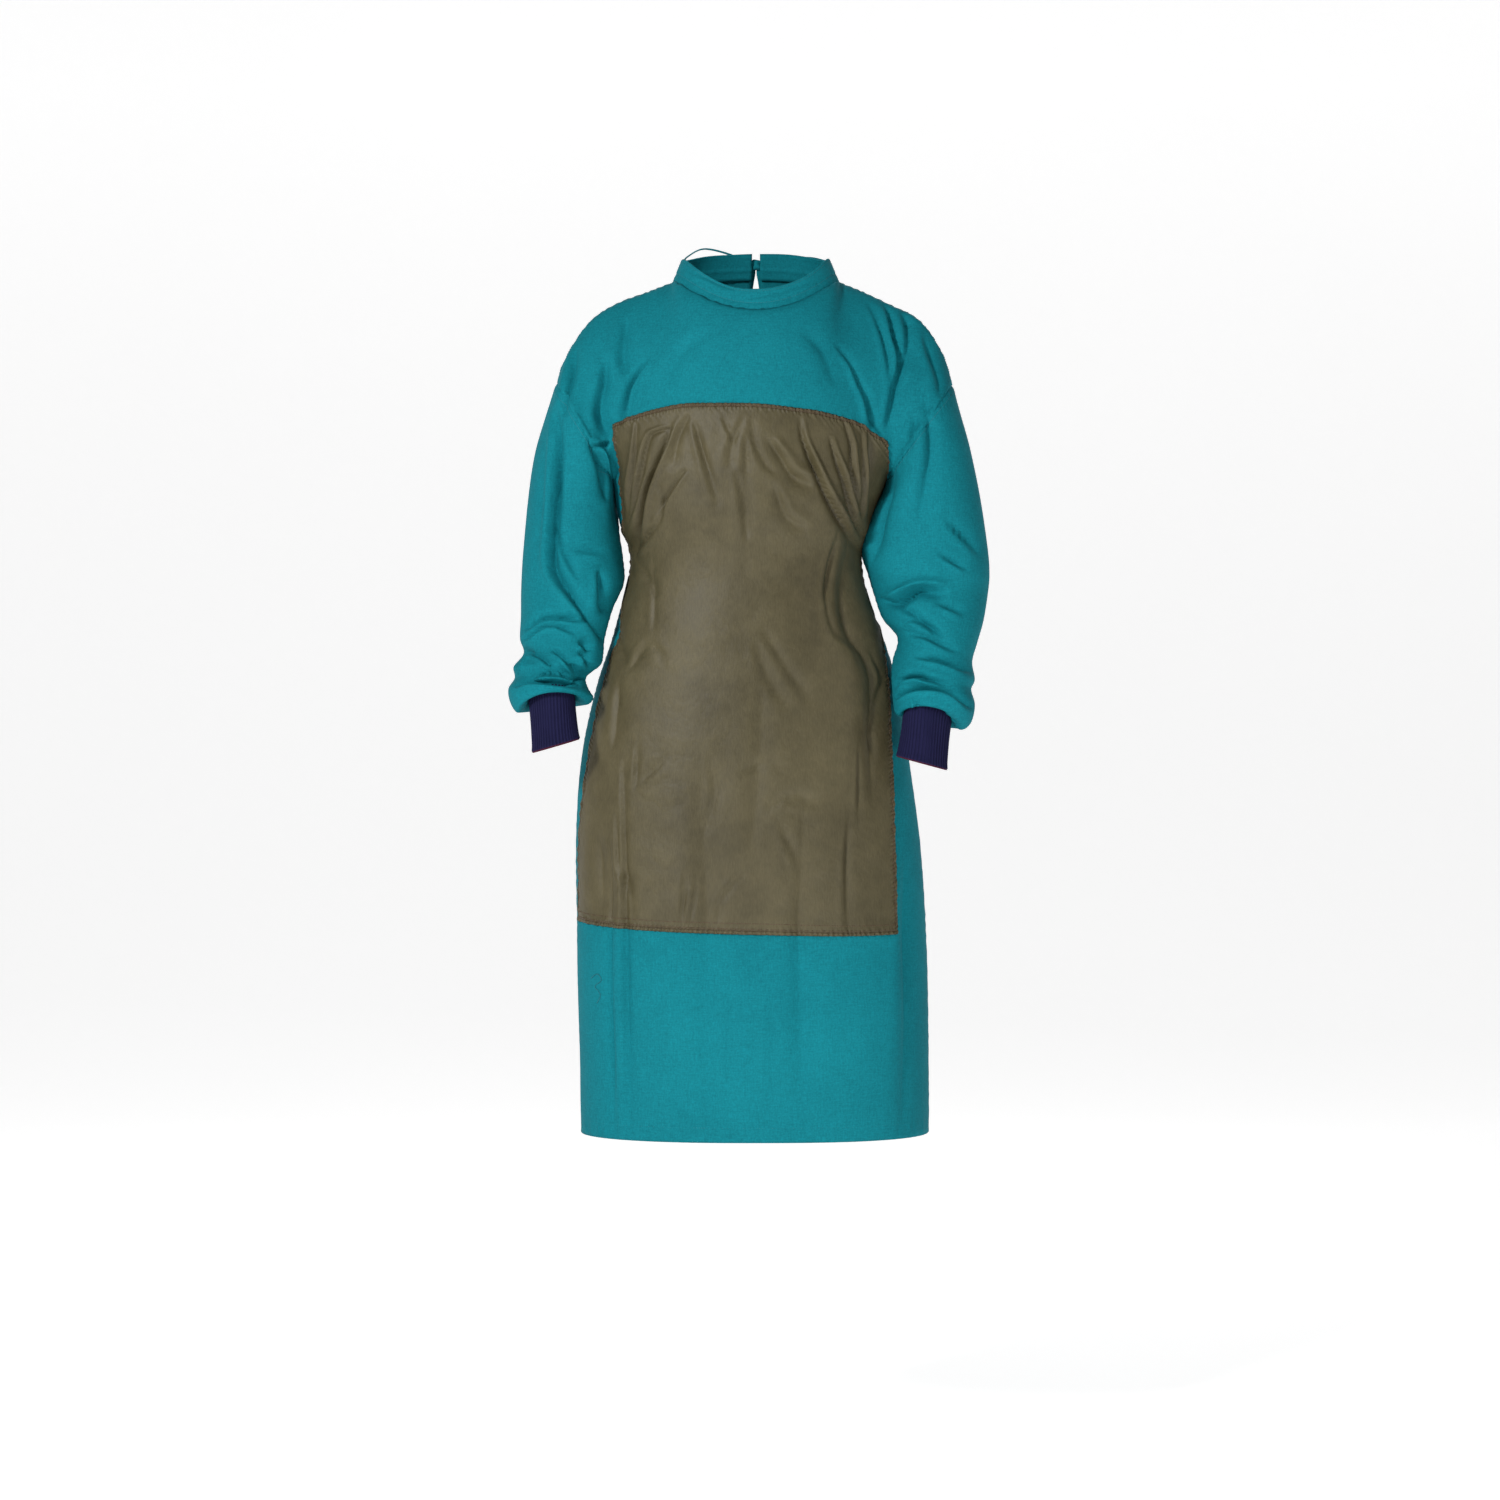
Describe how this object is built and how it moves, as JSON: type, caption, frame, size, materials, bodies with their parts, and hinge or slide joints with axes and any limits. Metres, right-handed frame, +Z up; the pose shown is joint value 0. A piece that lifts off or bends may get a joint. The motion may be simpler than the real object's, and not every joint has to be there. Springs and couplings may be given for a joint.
{
  "type": "surgical gown",
  "caption": "Long-sleeved back-opening surgical gown in its worn hollow form, with a front panel of coated cloth, band collar, rib-knit cuffs and tied tapes.",
  "frame": {"origin": "centre of the neck opening at the height of the collar seam, where the wearer's neck and shoulders hold the gown", "axes": "+Z up along the gown from hem to neck; -Y towards the front; +X to the viewer's right when seen from the front"},
  "size_m": [0.5962, 0.3, 1.1107],
  "materials": {
    "woven_teal": "plain-woven cotton, matte",
    "coated_olive": "close-woven coated cloth with a soft sheen",
    "knit_navy": "rib knit, matte",
    "tape_teal": "woven tape, matte"
  },
  "bodies": {
    "root": {"front": "woven_teal", "front_panel": "coated_olive", "back_left": "woven_teal", "back_right": "woven_teal", "sleeve_left": "woven_teal", "sleeve_right": "woven_teal", "cuff_left": "knit_navy", "cuff_right": "knit_navy", "collar": "woven_teal", "waist_tie_left": "tape_teal", "waist_tie_right": "tape_teal", "waist_knot": "tape_teal", "waist_loop_left": "tape_teal", "waist_loop_right": "tape_teal", "waist_end_left": "tape_teal", "waist_end_right": "tape_teal", "neck_knot": "tape_teal", "neck_loop_left": "tape_teal", "neck_loop_right": "tape_teal", "neck_end_left": "tape_teal", "neck_end_right": "tape_teal"}
  },
  "joints": []
}
